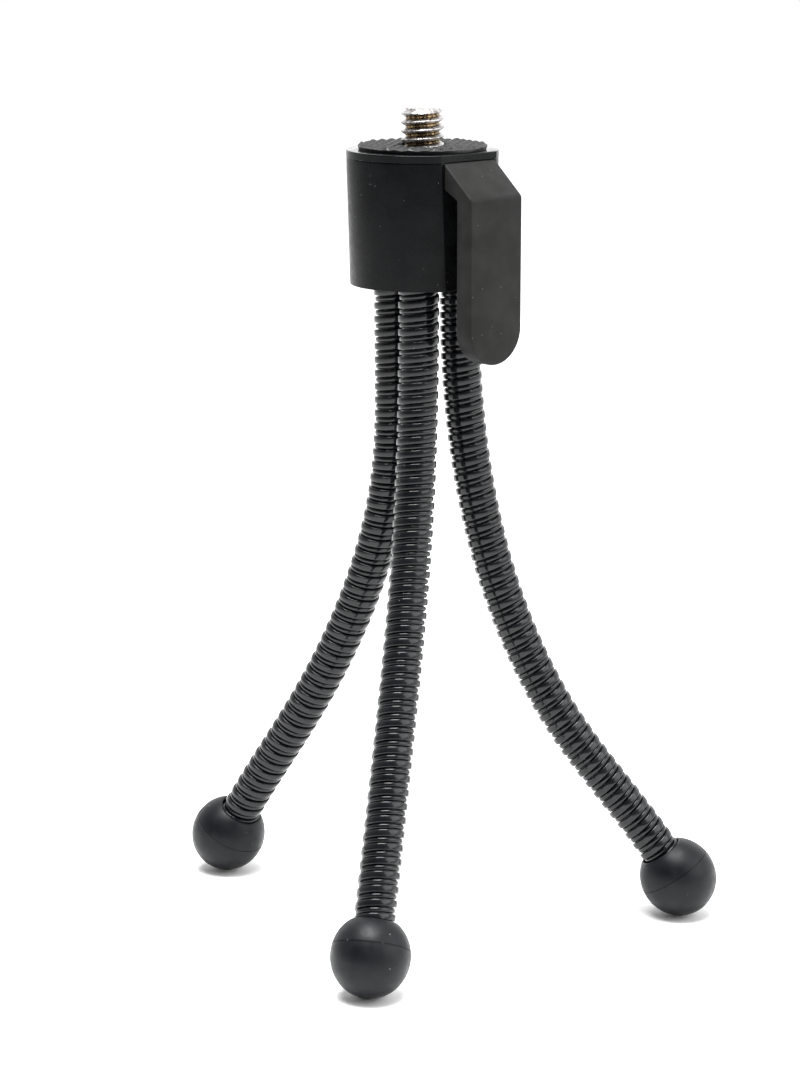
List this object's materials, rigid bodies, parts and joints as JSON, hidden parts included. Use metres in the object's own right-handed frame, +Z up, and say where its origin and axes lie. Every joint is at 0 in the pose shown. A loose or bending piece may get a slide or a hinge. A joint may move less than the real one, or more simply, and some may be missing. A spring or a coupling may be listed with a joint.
{
  "type": "mini tripod",
  "caption": "Small desk tripod with bendable gooseneck legs, rubber ball feet, a camera screw on a grip pad and a squeeze lever that frees the screw to turn.",
  "frame": {"origin": "on the floor under the middle of the whole object's box, with the three ball feet standing at z = 0", "axes": "+Z up along the head's axis and the camera screw; +Y away from the foot that stands at the front; +X towards the right foot"},
  "size_m": [0.082, 0.0694, 0.1231],
  "materials": {
    "moulded_black": "fine moulded satin texture",
    "lever_black": "fine matte spark texture",
    "black_rubber": "matte moulded rubber",
    "hose_steel": "satin black coating on wound steel strip",
    "plated_steel": "bright plating, a little tarnished",
    "core_wire": "drawn soft wire",
    "nylon": "natural nylon"
  },
  "bodies": {
    "head": {"head_housing": "moulded_black", "cap_plate": "moulded_black", "leg_holder": "moulded_black", "thrust_washer": "nylon", "lever_pin": "plated_steel", "lever_spring": "plated_steel", "anchor_disc": "plated_steel", "base_screw": "plated_steel", "hose_front_root": "hose_steel", "core_front_root": "core_wire", "hose_right_root": "hose_steel", "core_right_root": "core_wire", "hose_left_root": "hose_steel", "core_left_root": "core_wire"},
    "camera_mount": {"camera_screw": "plated_steel", "pad_disc": "plated_steel", "rubber_pad": "black_rubber"},
    "lever": {"squeeze_lever": "lever_black"},
    "brake": {"brake_shoe": "black_rubber"},
    "leg_front_upper": {"hose_front_upper": "hose_steel", "core_front_upper": "core_wire"},
    "leg_front_middle": {"hose_front_middle": "hose_steel", "core_front_middle": "core_wire"},
    "leg_front_lower": {"hose_front_lower": "hose_steel", "core_front_lower": "core_wire", "hose_plug_front": "plated_steel", "ball_foot_front": "black_rubber"},
    "leg_right_upper": {"hose_right_upper": "hose_steel", "core_right_upper": "core_wire"},
    "leg_right_middle": {"hose_right_middle": "hose_steel", "core_right_middle": "core_wire"},
    "leg_right_lower": {"hose_right_lower": "hose_steel", "core_right_lower": "core_wire", "hose_plug_right": "plated_steel", "ball_foot_right": "black_rubber"},
    "leg_left_upper": {"hose_left_upper": "hose_steel", "core_left_upper": "core_wire"},
    "leg_left_middle": {"hose_left_middle": "hose_steel", "core_left_middle": "core_wire"},
    "leg_left_lower": {"hose_left_lower": "hose_steel", "core_left_lower": "core_wire", "hose_plug_left": "plated_steel", "ball_foot_left": "black_rubber"}
  },
  "joints": [
    {"name": "screw_turn", "type": "hinge", "parent": "head", "child": "camera_mount", "pos_m": [-0.00435, 0.0084, 0.11707], "axis": [0, 0, 1], "continuous": true},
    {"name": "lever_squeeze", "type": "hinge", "parent": "head", "child": "lever", "pos_m": [0.00157, 0.00216, 0.11307], "axis": [0.7254, 0.6884, 0], "range_deg": [0, 8], "stiffness_Nm_per_rad": 0.25, "springref_deg": -14.32},
    {"name": "brake_slide", "type": "slide", "parent": "head", "child": "brake", "axis": [0.6884, -0.7254, 0], "range_m": [0, 0.0002]},
    {"name": "front_upper_bend", "type": "hinge", "parent": "head", "child": "leg_front_upper", "pos_m": [-0.00491, 0.00273, 0.09137], "axis": [-0.9767, 0.2147, 0], "range_deg": [-2, 25]},
    {"name": "front_middle_bend", "type": "hinge", "parent": "leg_front_upper", "child": "leg_front_middle", "pos_m": [-0.00579, -0.00126, 0.06175], "axis": [-0.9767, 0.2147, 0], "range_deg": [-13, 30]},
    {"name": "front_lower_bend", "type": "hinge", "parent": "leg_front_middle", "child": "leg_front_lower", "pos_m": [-0.00839, -0.01311, 0.03438], "axis": [-0.9767, 0.2147, 0], "range_deg": [-19, 30]},
    {"name": "right_upper_bend", "type": "hinge", "parent": "head", "child": "leg_right_upper", "pos_m": [0.00128, 0.01048, 0.09137], "axis": [-0.108, -0.9942, 0], "range_deg": [-2, 25]},
    {"name": "right_middle_bend", "type": "hinge", "parent": "leg_right_upper", "child": "leg_right_middle", "pos_m": [0.00463, 0.01011, 0.06162], "axis": [-0.108, -0.9942, 0], "range_deg": [-13, 30]},
    {"name": "right_lower_bend", "type": "hinge", "parent": "leg_right_middle", "child": "leg_right_lower", "pos_m": [0.0152, 0.00896, 0.03368], "axis": [-0.108, -0.9942, 0], "range_deg": [-19, 30]},
    {"name": "left_upper_bend", "type": "hinge", "parent": "head", "child": "leg_left_upper", "pos_m": [-0.0085, 0.01195, 0.09137], "axis": [0.5344, 0.8453, 0], "range_deg": [-2, 25]},
    {"name": "left_middle_bend", "type": "hinge", "parent": "leg_left_upper", "child": "leg_left_middle", "pos_m": [-0.01011, 0.01297, 0.06152], "axis": [0.5344, 0.8453, 0], "range_deg": [-13, 30]},
    {"name": "left_lower_bend", "type": "hinge", "parent": "leg_left_middle", "child": "leg_left_lower", "pos_m": [-0.01992, 0.01917, 0.03397], "axis": [0.5344, 0.8453, 0], "range_deg": [-19, 30]}
  ],
  "couplings": [
    {"joint": "brake_slide", "follows": "lever_squeeze", "m_per_rad": 0.0011}
  ]
}
